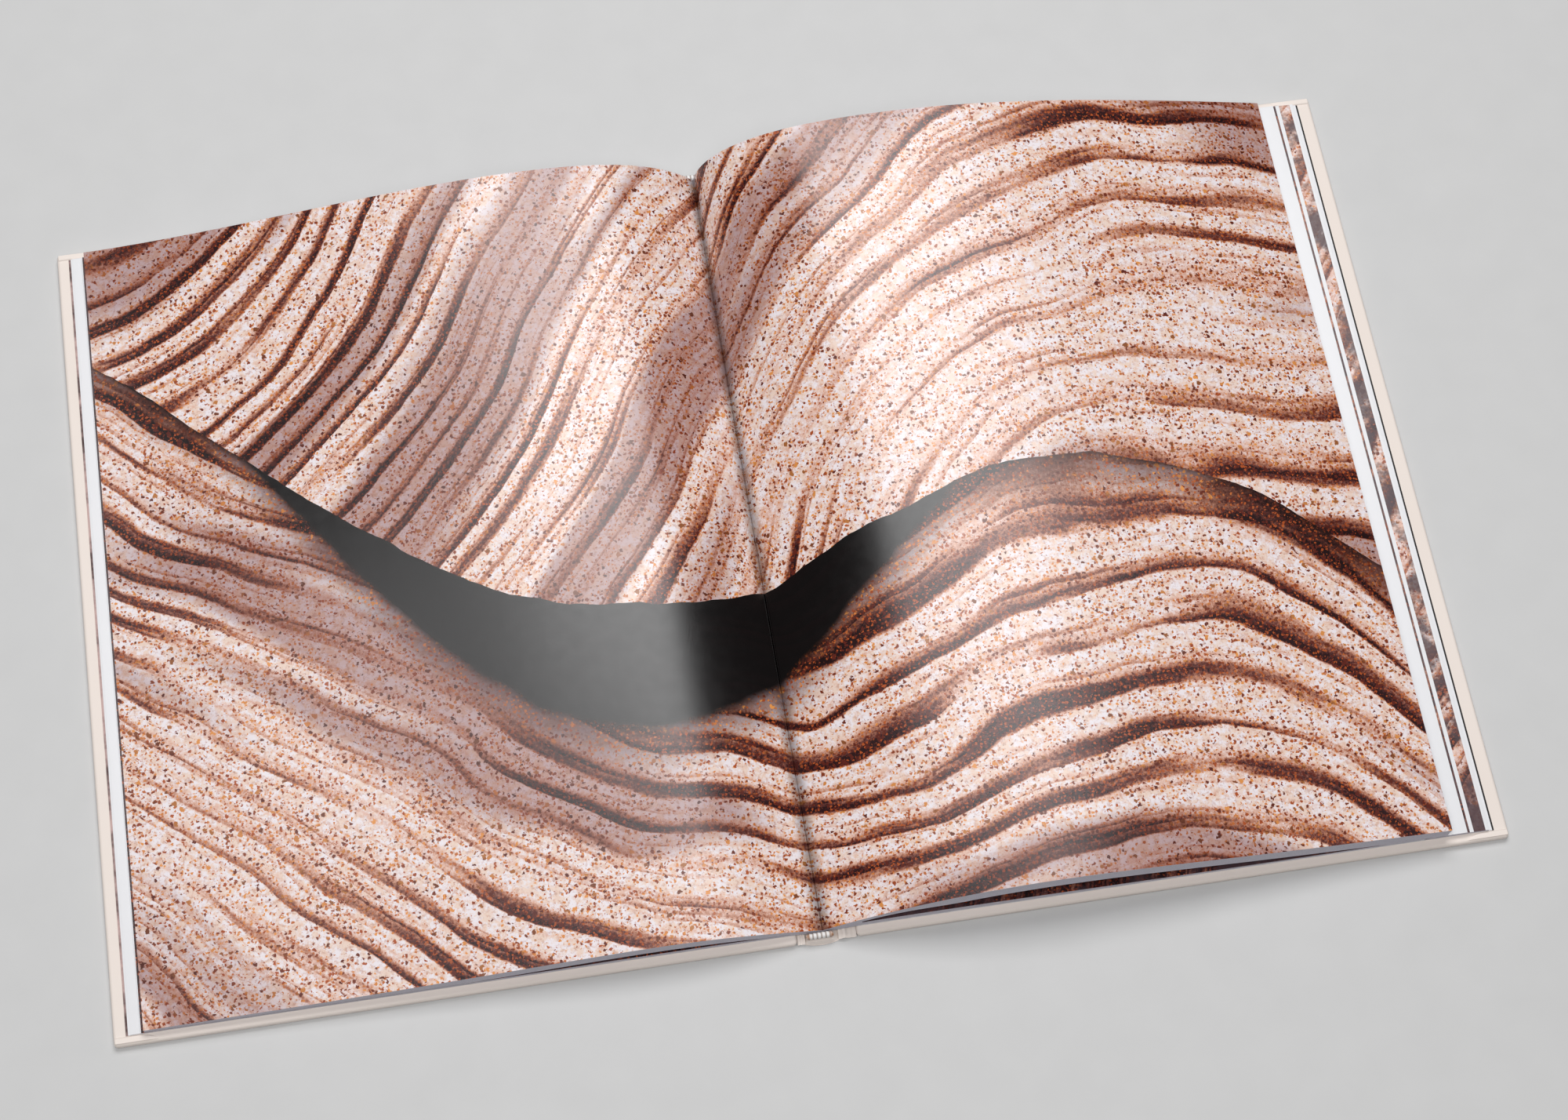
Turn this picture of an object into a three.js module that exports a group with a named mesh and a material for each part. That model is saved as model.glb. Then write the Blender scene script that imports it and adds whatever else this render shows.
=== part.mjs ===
import * as THREE from 'three';

// A hardcover picture book lying open near its middle. Millimetres. X runs across the spread, Y from the
// foot of the pages to their head, and Z up from the table. The origin is the middle of the open case.

// The case: two boards and a spine strip, joined by the covering in two grooves
const pageHeight = 290;
const boardSquare = 3;
const boardWidth = 225;
const boardHeight = pageHeight + 2 * boardSquare;
const boardThickness = 3;
const boardCornerRound = 1.2;
const boardEdgeRound = 0.5;
const boardSpacing = 20;
const spineWidth = 11.4;
const spineThickness = 1.6;
const spineOverhang = 0.8;
const spineEdgeRound = 0.5;
const frontGrooveWidth = 2.6;
const clothThickness = 0.5;
const clothLift = 0.3;
const backGrooveRise = 0.7;
const clearance = 0.3;

// The pages and endpapers. The binding holds the leaves together up to a distance from the middle.
const sheetThickness = 0.25;
const liningThickness = 0.5;
const liningShort = 5;
const backsHeight = 2.5;
const gutterHeight = 4.5;
const gutterLine = -1.2;
const gutterSlit = 0.6;
const leafStep = 0.3;
const heldTo = 16;
const looseFrom = 46;

// The two headbands
const bandRadius = 1.1;
const bandWidth = 9.4;

// Each side's leaves: how far the edges of its fanned sheets stay from the board's outer edge, the bundle
// that arches over a gap, the handles of the curves that its top page follows at the foot and the head,
// and the curve of the low leaves under the arch
const front = {
  side: -1,
  pastedownInset: 4.2,
  flyleafInset: 5,
  fanInsets: [5.6, 9],
  fanRise: 0.3,
  topInset: 10.4,
  bundleThickness: 5.6,
  foot: { nearGutter: [60, 22], nearEdge: [53, 9.5], edgeHeight: 6.6, heldThickness: 4.6 },
  head: { nearGutter: [36, 48], nearEdge: [136, 12], edgeHeight: 7.4, heldThickness: 5.6 },
  lower: { start: 4.2, nearGutter: [45, 7.4], nearEdge: [90, 4.2], end: 4.2 },
};
const back = {
  side: 1,
  pastedownInset: 5,
  flyleafInset: 5.7,
  fanInsets: [7, 12.4, 14.7],
  fanRise: 0.9,
  topInset: 21.4,
  bundleThickness: 6.8,
  foot: { nearGutter: [60, 35], nearEdge: [102, 18], edgeHeight: 10.4, heldThickness: 2.6 },
  head: { nearGutter: [0, 18], nearEdge: [20, 65], edgeHeight: 8.6, heldThickness: 6.8 },
  lower: { start: 6.6, nearGutter: [60, 8.6], nearEdge: [105, 3.8], end: 5.3 },
};

const halfCase = boardSpacing / 2 + boardWidth;
const endpaperTop = boardThickness + 2 * sheetThickness;
const spineLeft = -boardSpacing / 2 + frontGrooveWidth;
const spineRight = spineLeft + spineWidth;
const stations = 9;
const profileSteps = 26;
const gapSteps = 18;

const colours = {
  covering: { color: 0xf0e4dc, roughness: 0.62 },
  cloth: { color: 0xe8dcd2, roughness: 0.7 },
  endpaperFront: { color: 0xe6e0e0, roughness: 0.55 },
  endpaperBack: { color: 0x2a1a1a, roughness: 0.55 },
  lining: { color: 0xd9d2c6, roughness: 0.9 },
  band: { color: 0xdedad4, roughness: 0.7 },
  pages: { color: 0xd8c4bc, roughness: 0.5 },
};

function mesh(name, geometry, { color, roughness }) {
  const material = new THREE.MeshStandardMaterial({ color, roughness, metalness: 0 });
  const made = new THREE.Mesh(geometry, material);
  made.name = name;
  return made;
}

// A closed body through sections that all have as many points: {y, outline, hole}, with [x, z] points.
// The hole, where there is one, is a tunnel from the first section to the last.
function loft(sections) {
  const positions = [];
  const triangles = [];
  const addLoop = (loop, y) => {
    const first = positions.length / 3;
    for (const [x, z] of loop) positions.push(x, y, z);
    return first;
  };
  const placed = sections.map(({ y, outline, hole }) => ({
    outer: { first: addLoop(outline, y), count: outline.length },
    inner: hole ? { first: addLoop(hole, y), count: hole.length } : null,
  }));
  const wall = (a, b) => {
    for (let i = 0; i < a.count; i += 1) {
      const j = (i + 1) % a.count;
      triangles.push(a.first + i, a.first + j, b.first + j);
      triangles.push(a.first + i, b.first + j, b.first + i);
    }
  };
  for (let k = 0; k + 1 < placed.length; k += 1) {
    wall(placed[k].outer, placed[k + 1].outer);
    if (placed[k].inner) wall(placed[k + 1].inner, placed[k].inner);
  }
  const cap = (section, place, last) => {
    const contour = section.outline.map(([x, z]) => new THREE.Vector2(x, z));
    const holes = section.hole ? [section.hole.map(([x, z]) => new THREE.Vector2(x, z))] : [];
    const indexOf = (i) => (i < contour.length
      ? place.outer.first + i
      : place.inner.first + i - contour.length);
    const found = THREE.ShapeUtils.triangulateShape(contour, holes);
    const turn = orientation(contour, holes, found) > 0 !== last;
    for (const [a, b, c] of found) {
      const corners = turn ? [c, b, a] : [a, b, c];
      triangles.push(...corners.map(indexOf));
    }
  };
  cap(sections[0], placed[0], false);
  cap(sections[sections.length - 1], placed[placed.length - 1], true);
  return outwardFacing(positions, triangles);
}

// Which way round a cap's triangles run. They all run one way, so their areas are summed: a triangle
// whose corners lie in a line has no way round of its own.
function orientation(contour, holes, triangles) {
  const all = [...contour, ...holes.flat()];
  const side = (a, b, c) => all[b].clone().sub(all[a]).cross(all[c].clone().sub(all[a]));
  const sum = triangles.reduce((total, corners) => total + side(...corners), 0);
  return sum * (THREE.ShapeUtils.isClockWise(contour) ? -1 : 1);
}

// A geometry of these triangles, turned so that its faces point out
function outwardFacing(positions, triangles) {
  const at = (i) => new THREE.Vector3().fromArray(positions, 3 * i);
  let volume = 0;
  for (let i = 0; i < triangles.length; i += 3) {
    volume += at(triangles[i]).dot(at(triangles[i + 1]).cross(at(triangles[i + 2])));
  }
  if (volume < 0) triangles.reverse();
  const geometry = new THREE.BufferGeometry();
  geometry.setAttribute('position', new THREE.Float32BufferAttribute(positions, 3));
  geometry.setIndex(triangles);
  geometry.computeVertexNormals();
  return geometry;
}

// A slab between two heights, with round corners seen from above and rounded edges
function slab(x0, x1, length, bottom, top, cornerRound, edgeRound) {
  const inner = { x0: x0 + edgeRound, x1: x1 - edgeRound, half: length / 2 - edgeRound };
  const r = cornerRound;
  const shape = new THREE.Shape();
  shape.moveTo(inner.x0 + r, -inner.half);
  shape.lineTo(inner.x1 - r, -inner.half);
  shape.absarc(inner.x1 - r, -inner.half + r, r, -Math.PI / 2, 0);
  shape.lineTo(inner.x1, inner.half - r);
  shape.absarc(inner.x1 - r, inner.half - r, r, 0, Math.PI / 2);
  shape.lineTo(inner.x0 + r, inner.half);
  shape.absarc(inner.x0 + r, inner.half - r, r, Math.PI / 2, Math.PI);
  shape.lineTo(inner.x0, -inner.half + r);
  shape.absarc(inner.x0 + r, -inner.half + r, r, Math.PI, 1.5 * Math.PI);
  const geometry = new THREE.ExtrudeGeometry(shape, {
    depth: top - bottom - 2 * edgeRound,
    curveSegments: 4,
    bevelThickness: edgeRound,
    bevelSize: edgeRound,
    bevelSegments: 3,
  });
  return geometry.translate(0, 0, bottom + edgeRound);
}

function cover({ side }) {
  const ends = [side * (boardSpacing / 2), side * halfCase].sort((a, b) => a - b);
  return slab(...ends, boardHeight, 0, boardThickness, boardCornerRound, boardEdgeRound);
}

function spineStrip() {
  const length = boardHeight + 2 * spineOverhang;
  return slab(spineLeft, spineRight, length, 0, spineThickness, boardCornerRound, spineEdgeRound);
}

// The covering in a groove: it rises beside the spine strip and lies low by the board, under its hinge
function jointCloth(x0, x1, rise) {
  const steps = 10;
  const under = [];
  const over = [];
  for (let i = 0; i <= steps; i += 1) {
    const share = i / steps;
    const x = x0 + (x1 - x0) * share;
    const swell = Math.sin(Math.PI * Math.min(1, share * 1.5)) ** 2;
    under.push([x, clothLift + rise * swell]);
    over.unshift([x, clothLift + rise * swell + clothThickness]);
  }
  const outline = [...under, ...over];
  return loft([-1, 1].map((end) => ({ y: end * boardHeight / 2, outline })));
}

// The sheet pasted to the board and the free half of it that lies on it, joined at their fold
function endpaper({ side, pastedownInset, flyleafInset }) {
  const inner = boardSpacing / 2 + clearance;
  const middle = boardThickness + sheetThickness;
  const outline = [
    [inner, boardThickness],
    [halfCase - pastedownInset, boardThickness],
    [halfCase - pastedownInset, middle],
    [halfCase - flyleafInset, middle],
    [halfCase - flyleafInset, endpaperTop],
    [inner, endpaperTop],
  ].map(([u, z]) => [side * u, z]);
  return loft([-1, 1].map((end) => ({ y: end * pageHeight / 2, outline })));
}

// The curve of the top page across one side, a share of the way from the foot to the head. Its first
// number is the distance from the middle of the case, outward on that side.
function pageCurve(sizes, share) {
  const { side, foot, head, topInset } = sizes;
  const start = new THREE.Vector2(side * gutterLine + gutterSlit / 2, gutterHeight);
  const handle = (name) => {
    const from = new THREE.Vector2(...foot[name]);
    return from.lerp(new THREE.Vector2(...head[name]), share);
  };
  const edge = THREE.MathUtils.lerp(foot.edgeHeight, head.edgeHeight, share);
  const end = new THREE.Vector2(halfCase - topInset, edge);
  return new THREE.CubicBezierCurve(start, handle('nearGutter'), handle('nearEdge'), end);
}

// Where along a curve its first coordinate reaches u
function shareAt(curve, u) {
  let low = 0;
  let high = 1;
  for (let i = 0; i < 40; i += 1) {
    const middle = (low + high) / 2;
    if (curve.getPoint(middle).x < u) low = middle;
    else high = middle;
  }
  return (low + high) / 2;
}

function pointsAlong(curve, from, to, steps) {
  const points = [];
  for (let i = 0; i <= steps; i += 1) {
    const p = curve.getPoint(from + (to - from) * (i / steps));
    points.push([p.x, p.y]);
  }
  return points;
}

// How thick the arched bundle is at a distance u. It is thinner where the binding holds it.
function thicknessAt({ foot, head, bundleThickness }, place, u) {
  const held = THREE.MathUtils.lerp(foot.heldThickness, head.heldThickness, place);
  return THREE.MathUtils.lerp(held, bundleThickness, THREE.MathUtils.smoothstep(u, heldTo, looseFrom));
}

// The underside of the arched bundle at a distance u, its thickness below the top page
function undersideAt(curve, thickness, u) {
  let share = shareAt(curve, u);
  for (let i = 0; i < 12; i += 1) {
    const tangent = curve.getTangent(share);
    share = shareAt(curve, Math.min(u - tangent.y * thickness, curve.v3.x));
  }
  const tangent = curve.getTangent(share);
  return curve.getPoint(share).y - tangent.x * thickness;
}

// The top of the leaves that lie low on the board, under the arch
function lowerCurve({ lower, topInset }) {
  const start = new THREE.Vector2(boardSpacing / 2, lower.start);
  const end = new THREE.Vector2(halfCase - topInset, lower.end);
  const [a, b] = [lower.nearGutter, lower.nearEdge].map((p) => new THREE.Vector2(...p));
  return new THREE.CubicBezierCurve(start, a, b, end);
}

// The gap between the arched bundle and the leaves under it, as a closed outline
function archGap(sizes, curve, place) {
  const low = lowerCurve(sizes);
  const roof = (u) => undersideAt(curve, thicknessAt(sizes, place, u), u);
  const openings = [];
  const scan = 400;
  const reach = [boardSpacing / 2 + 4 * clearance, halfCase - sizes.topInset - 4 * clearance];
  for (let i = 0; i <= scan; i += 1) {
    const u = THREE.MathUtils.lerp(...reach, i / scan);
    const under = low.getPoint(shareAt(low, u)).y;
    if (roof(u) - under > clearance) openings.push(u);
  }
  const [first, last] = [openings[0], openings[openings.length - 1]];
  const bottom = [];
  const top = [];
  for (let i = 0; i <= gapSteps; i += 1) {
    const u = first + (last - first) * (0.5 - 0.5 * Math.cos(Math.PI * (i / gapSteps)));
    bottom.push([u, low.getPoint(shareAt(low, u)).y]);
    top.unshift([u, roof(u)]);
  }
  return [...bottom, ...top];
}

// The leaves that turn with one cover: a fan of edges, a few low leaves, and the bundle arched over them
function leaves(sizes) {
  const { side, fanInsets, fanRise, topInset } = sizes;
  const inner = boardSpacing / 2 + clearance / 2;
  const fan = [];
  let height = endpaperTop;
  for (const [i, inset] of fanInsets.entries()) {
    fan.push([halfCase - inset, height]);
    height += i === 0 ? fanRise : leafStep;
    fan.push([halfCase - inset, height]);
  }
  const sections = [];
  for (let k = 0; k < stations; k += 1) {
    const share = k / (stations - 1);
    const curve = pageCurve(sizes, share);
    const top = pointsAlong(curve, 1, shareAt(curve, inner), profileSteps);
    const outline = [[inner, endpaperTop], ...fan, [halfCase - topInset, height], ...top];
    const mirror = (loop) => loop.map(([u, z]) => [side * u, z]);
    sections.push({
      y: (share - 0.5) * pageHeight,
      outline: mirror(outline),
      hole: mirror(archGap(sizes, curve, share)),
    });
  }
  return loft(sections);
}

// The sewn and glued backs of the pages, which stay on the spine, with the valley of the gutter on top
function pageBacks() {
  const edge = boardSpacing / 2 - clearance / 2;
  const sections = [];
  for (let k = 0; k < stations; k += 1) {
    const share = k / (stations - 1);
    const [left, right] = [front, back].map((sizes) => {
      const curve = pageCurve(sizes, share);
      return pointsAlong(curve, 0, shareAt(curve, edge), 8).map(([u, z]) => [sizes.side * u, z]);
    });
    const flat = [[spineLeft, backsHeight], [spineRight, backsHeight]];
    const under = [[-edge, endpaperTop], ...flat, [edge, endpaperTop]];
    sections.push({ y: (share - 0.5) * pageHeight, outline: [...under, ...right.reverse(), ...left] });
  }
  return loft(sections);
}

function lining() {
  const bottom = backsHeight - liningThickness;
  const outline = [
    [spineLeft, bottom],
    [spineRight, bottom],
    [spineRight, backsHeight],
    [spineLeft, backsHeight],
  ];
  return loft([-1, 1].map((end) => ({ y: end * (pageHeight / 2 - liningShort), outline })));
}

// A small round roll across the end of the page backs
function headband(end) {
  const roll = new THREE.ExtrudeGeometry(new THREE.Shape().absarc(0, 0, bandRadius, 0, 2 * Math.PI), {
    depth: bandWidth,
    curveSegments: 8,
    bevelEnabled: false,
  });
  roll.rotateY(Math.PI / 2);
  const y = end * (pageHeight / 2 + clearance + bandRadius);
  return roll.translate(spineLeft + clearance, y, backsHeight + bandRadius);
}

const frontBody = new THREE.Group();
frontBody.add(
  mesh('front_cover', cover(front), colours.covering),
  mesh('front_endpaper', endpaper(front), colours.endpaperFront),
  mesh('front_leaves', leaves(front), colours.pages),
);
const backBody = new THREE.Group();
backBody.add(
  mesh('back_cover', cover(back), colours.covering),
  mesh('back_endpaper', endpaper(back), colours.endpaperBack),
  mesh('back_leaves', leaves(back), colours.pages),
);
const spineBody = new THREE.Group();
const clothEdges = [-boardSpacing / 2 + clearance, spineLeft - clearance];
spineBody.add(
  mesh('spine_strip', spineStrip(), colours.covering),
  mesh('front_joint_cloth', jointCloth(...clothEdges, 0), colours.cloth),
  mesh('back_joint_cloth', jointCloth(spineRight + clearance, -clothEdges[0], backGrooveRise), colours.cloth),
  mesh('spine_lining', lining(), colours.lining),
  mesh('page_backs', pageBacks(), colours.pages),
  mesh('head_band', headband(1), colours.band),
  mesh('tail_band', headband(-1), colours.band),
);

const book = new THREE.Group();
book.add(frontBody, backBody, spineBody);
export default book;
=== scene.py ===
# %% [markdown]
# # An open picture book
# The book lies open near its middle. Two stiff boards and a strip of spine lie flat, and the pages arch up
# from the gutter and fall to their fore-edges, more on the right than on the left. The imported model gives
# every piece its place. This notebook gives the paper, the print and the covering their looks.

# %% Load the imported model
import math

import bmesh
import bpy
import numpy as np
from mathutils import Matrix, Vector


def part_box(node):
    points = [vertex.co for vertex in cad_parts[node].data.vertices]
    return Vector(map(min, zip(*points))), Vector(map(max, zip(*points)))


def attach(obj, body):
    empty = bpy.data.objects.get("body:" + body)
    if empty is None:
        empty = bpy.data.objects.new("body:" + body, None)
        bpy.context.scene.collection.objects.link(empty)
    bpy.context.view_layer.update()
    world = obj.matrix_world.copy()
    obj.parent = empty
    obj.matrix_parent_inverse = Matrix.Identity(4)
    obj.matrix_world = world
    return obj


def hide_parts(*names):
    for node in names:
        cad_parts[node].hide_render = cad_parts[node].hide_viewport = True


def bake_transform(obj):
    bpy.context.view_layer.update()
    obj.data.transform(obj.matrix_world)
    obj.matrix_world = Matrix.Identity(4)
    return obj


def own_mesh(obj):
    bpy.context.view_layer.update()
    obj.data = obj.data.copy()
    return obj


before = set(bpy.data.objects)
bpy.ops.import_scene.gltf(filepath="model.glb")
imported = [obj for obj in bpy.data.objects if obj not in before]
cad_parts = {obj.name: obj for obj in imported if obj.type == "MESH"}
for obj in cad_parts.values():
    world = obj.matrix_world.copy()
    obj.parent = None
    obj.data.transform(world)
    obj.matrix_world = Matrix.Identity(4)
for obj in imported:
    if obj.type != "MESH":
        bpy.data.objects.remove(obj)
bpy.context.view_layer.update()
MM = 0.001
print("nodes:", sorted(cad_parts))

# %% [markdown]
# ## The camera
# A camera can be placed by its matrix, by a constraint, or by a point to look at. The last reads best, and it
# needs only one more value, the roll, because the photograph isn't quite level. The camera stands a metre
# away and looks down steeply, so the pages' near edges show while the far ones hide.

# %% Place the camera
CAMERA_AT = Vector((-0.08164, -0.39337, 0.91690))
LOOK_AT = Vector((0.00806, -0.00948, 0.0))
CAMERA_ROLL = math.radians(4.22)
LENS_MM = 65.16
SENSOR_MM = 36

camera_data = bpy.data.cameras.new("camera")
camera_data.sensor_fit = "HORIZONTAL"
camera_data.sensor_width = SENSOR_MM
camera_data.lens = LENS_MM
camera = bpy.data.objects.new("camera", camera_data)
bpy.context.scene.collection.objects.link(camera)
turn = (LOOK_AT - CAMERA_AT).to_track_quat("-Z", "Y").to_matrix().to_4x4()
camera.matrix_world = Matrix.Translation(CAMERA_AT) @ turn @ Matrix.Rotation(CAMERA_ROLL, 4, "Z")
bpy.context.scene.camera = camera
print("camera elevation", round(math.degrees(math.asin((CAMERA_AT - LOOK_AT).normalized().z)), 1))

# %% [markdown]
# ## The light
# The glossy print shows a veil of light on each page, a little way out from the gutter, and the near edges
# are bright. So one softbox hangs behind the book, where the tops of the two arches mirror it towards the
# camera, and a second one hangs high over its front, so that its shadow stays short. The world adds a little.
# Together they light white paper as white and no more, and the steep sides of the gutter mirror nothing
# bright, so they keep their deep blacks.

# %% Hang the lights
WORLD_WHITE = (1.0, 0.985, 0.975, 1)
WORLD_STRENGTH = 0.09


def softbox(name, at, size, power):
    data = bpy.data.lights.new(name, "AREA")
    data.shape = "RECTANGLE"
    data.size, data.size_y = size
    data.energy = power
    light = bpy.data.objects.new(name, data)
    light.location = at
    light.rotation_euler = (-Vector(at)).to_track_quat("-Z", "Y").to_euler()
    bpy.context.scene.collection.objects.link(light)
    print(name, "is", round(Vector(at).length, 2), "m away")


softbox("veil_softbox", at=(0.12, 0.60, 1.40), size=(1.0, 0.7), power=14)
softbox("front_softbox", at=(-0.25, -0.62, 1.85), size=(1.5, 0.9), power=19)
world = bpy.data.worlds.new("studio")
world.use_nodes = True
sky = world.node_tree.nodes["Background"].inputs
sky["Color"].default_value = WORLD_WHITE
sky["Strength"].default_value = WORLD_STRENGTH
bpy.context.scene.world = world
bpy.context.scene.view_settings.view_transform = "Standard"

# %% [markdown]
# ## Small helpers for materials
# Each finish is built from nodes. A few short functions that add a node, set its values and join its inputs
# keep a material readable as a list of steps.

# %% Add a node, and do sums with nodes


def add_node(tree, kind, values=None, **settings):
    node = tree.nodes.new(kind)
    for key, value in settings.items():
        setattr(node, key, value)
    for key, value in (values or {}).items():
        socket = node.inputs[key]
        if isinstance(value, bpy.types.NodeSocket):
            tree.links.new(value, socket)
        else:
            socket.default_value = value
    return node


def calc(tree, operation, a, b=0.0, c=0.0):
    return add_node(tree, "ShaderNodeMath", {0: a, 1: b, 2: c}, operation=operation).outputs[0]


def vector_calc(tree, operation, a, b):
    return add_node(tree, "ShaderNodeVectorMath", {0: a, 1: b}, operation=operation).outputs[0]


def split_xyz(tree, vector):
    return add_node(tree, "ShaderNodeSeparateXYZ", {0: vector}).outputs


def join_xy(tree, x, y):
    return add_node(tree, "ShaderNodeCombineXYZ", {0: x, 1: y}).outputs[0]


print("helpers for sums ready")

# %% [markdown]
# Colours are mixed, and a value is turned into another range or into a colour. A noise gives the unevenness
# that every real surface has.

# %% Colours and noise


def mixed(tree, factor, a, b, blend="MIX"):
    a, b = ((*x, 1) if isinstance(x, tuple) else x for x in (a, b))
    node = add_node(tree, "ShaderNodeMix", {0: factor}, data_type="RGBA", blend_type=blend)
    for index, value in ((6, a), (7, b)):
        if isinstance(value, bpy.types.NodeSocket):
            tree.links.new(value, node.inputs[index])
        else:
            node.inputs[index].default_value = value
    return node.outputs[2]


def remap(tree, value, low, high, to_low=0.0, to_high=1.0):
    values = {0: value, 1: low, 2: high, 3: to_low, 4: to_high}
    return add_node(tree, "ShaderNodeMapRange", values, interpolation_type="SMOOTHSTEP").outputs[0]


def ramp(tree, value, stops):
    node = add_node(tree, "ShaderNodeValToRGB", {0: value})
    elements = node.color_ramp.elements
    while len(elements) < len(stops):
        elements.new(0.5)
    for element, (at, colour) in zip(elements, stops):
        element.position = at
        element.color = (*colour, 1)
    return node.outputs[0]


def noise(tree, vector, scale, detail=4.0, rough=0.5):
    values = {"Vector": vector, "Scale": scale, "Detail": detail, "Roughness": rough}
    return add_node(tree, "ShaderNodeTexNoise", values).outputs[0]


print("helpers for colours and noise ready")

# %% [markdown]
# A node group is an effect that several materials share, with named inputs and outputs. A material is one
# Principled shader with its nodes in front of it, and the group only feeds it.

# %% Groups and materials


def new_group(name, inputs, outputs):
    tree = bpy.data.node_groups.new(name, "ShaderNodeTree")
    for label, kind, value in inputs:
        socket = tree.interface.new_socket(label, in_out="INPUT", socket_type=kind)
        if value is not None:
            socket.default_value = value
    for label, kind in outputs:
        tree.interface.new_socket(label, in_out="OUTPUT", socket_type=kind)
    return tree, tree.nodes.new("NodeGroupInput").outputs, tree.nodes.new("NodeGroupOutput").inputs


def use_group(tree, group, **values):
    node = add_node(tree, "ShaderNodeGroup", node_tree=group)
    for key, value in values.items():
        socket = node.inputs[key.replace("_", " ")]
        if isinstance(value, bpy.types.NodeSocket):
            tree.links.new(value, socket)
        else:
            socket.default_value = value
    return node.outputs


def new_material(name, roughness, specular=0.5):
    material = bpy.data.materials.new(name)
    material.use_nodes = True
    tree = material.node_tree
    shader = tree.nodes["Principled BSDF"]
    shader.inputs["Roughness"].default_value = roughness
    shader.inputs["Specular IOR Level"].default_value = specular
    return material, tree, shader.inputs


def add_bump(tree, shader, height, strength, distance):
    values = {"Strength": strength, "Distance": distance, "Height": height}
    tree.links.new(add_node(tree, "ShaderNodeBump", values).outputs[0], shader["Normal"])


print("helpers for groups and materials ready")

# %% [markdown]
# ## The paper's grain
# Print, covering and floor all have a fine tooth that breaks up the light. It is one group: a fine noise that
# gives a height, and a slower one, a mottle that colours and roughness can follow.

# %% Build the grain group
FLOAT, VECTOR, COLOUR = "NodeSocketFloat", "NodeSocketVector", "NodeSocketColor"

grain, grain_in, grain_out = new_group(
    "PaperGrain",
    [("Vector", VECTOR, None), ("Per metre", FLOAT, 2500.0)],
    [("Height", FLOAT), ("Mottle", FLOAT)],
)
tooth_height = noise(grain, grain_in["Vector"], grain_in["Per metre"], 3.0, 0.6)
slow_mottle = noise(grain, grain_in["Vector"], calc(grain, "MULTIPLY", grain_in["Per metre"], 0.12), 3.0)
grain.links.new(tooth_height, grain_out["Height"])
grain.links.new(slow_mottle, grain_out["Mottle"])
print("group", grain.name, "has", len(grain.nodes), "nodes")

# %% [markdown]
# ## The specks in the print
# The print shows weathered stone, strewn with rust-coloured specks. Voronoi cells place one speck each. The
# cell's own colour decides whether it holds a speck, how big it is and which tone it has, and a noise shakes
# the outline, so that no speck is a plain disc. The cells are flat ones, because cells in depth would mostly
# miss the sheet. The group is used at three sizes.

# %% Build the speck group
RAGGEDNESS = 1.7
SHAKE = 1.1

specks, specks_in, specks_out = new_group(
    "RustSpecks",
    [("Vector", VECTOR, None), ("Per metre", FLOAT, 800.0), ("Amount", FLOAT, 0.5)],
    [("Mask", FLOAT), ("Tone", FLOAT)],
)
per_metre = specks_in["Per metre"]
ragged_scale = calc(specks, "MULTIPLY", per_metre, RAGGEDNESS)
ragged = add_node(specks, "ShaderNodeTexNoise", {"Vector": specks_in["Vector"], "Scale": ragged_scale})
centred = vector_calc(specks, "SUBTRACT", ragged.outputs[1], (0.5, 0.5, 0.5))
shake = add_node(specks, "ShaderNodeVectorMath", {0: centred}, operation="SCALE")
specks.links.new(calc(specks, "DIVIDE", SHAKE, per_metre), shake.inputs["Scale"])
shaken = vector_calc(specks, "ADD", specks_in["Vector"], shake.outputs[0])
cell_values = {"Vector": shaken, "Scale": per_metre}
cells = add_node(specks, "ShaderNodeTexVoronoi", cell_values, voronoi_dimensions="2D")
own = add_node(specks, "ShaderNodeSeparateColor", {0: cells.outputs["Color"]}).outputs
clumps = noise(specks, specks_in["Vector"], calc(specks, "MULTIPLY", per_metre, 0.06), 3.0, 0.6)
chance = calc(specks, "MULTIPLY", specks_in["Amount"], remap(specks, clumps, 0.35, 0.65, 0.4, 1.6))
kept = calc(specks, "LESS_THAN", own[0], chance)
reach = remap(specks, own[1], 0.0, 1.0, 0.14, 0.40)
spot = remap(specks, calc(specks, "SUBTRACT", reach, cells.outputs["Distance"]), 0.0, 0.10)
specks.links.new(calc(specks, "MULTIPLY", spot, kept), specks_out["Mask"])
specks.links.new(own[2], specks_out["Tone"])
print("group", specks.name, "has", len(specks.nodes), "nodes")

# %% [markdown]
# ## The layers in the print
# The picture on the spread is generic: a wall of layered stone. One set of layers sweeps down across both
# pages until a second set cuts it off, and a long black cleft opens under that line. It could be painted as
# an image, but a procedural print stays sharp at any distance. The layers are the level lines of a warped
# slope, so the group needs the slope of each set, the line between them, and a profile from groove to crest.

# %% Place the layers
BLACK = (0.0020, 0.0008, 0.0009)
UMBER = (0.024, 0.0050, 0.0062)
BROWN = (0.160, 0.046, 0.036)
TAN = (0.48, 0.205, 0.128)
BLUSH = (0.77, 0.485, 0.385)
CREAM = (0.84, 0.655, 0.56)
FROST = (0.86, 0.80, 0.84)
MAUVE = (0.50, 0.355, 0.345)
RUST = (0.42, 0.085, 0.020)
RUST_SHADE = (0.11, 0.016, 0.009)
OCHRE = (0.78, 0.31, 0.08)
LAYERS_PER_M = 1 / 0.018

strata, strata_in, strata_out = new_group(
    "StoneStrata",
    [("Vector", VECTOR, None), ("Shade", FLOAT, 0.0), ("Cleft", FLOAT, 1.0)],
    [("Color", COLOUR)],
)
place = strata_in["Vector"]
at = split_xyz(strata, place)
across, along = at["X"], at["Y"]


def total(tree, *parts):
    value = parts[0]
    for part in parts[1:]:
        value = calc(tree, "ADD", value, part)
    return value


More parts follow.
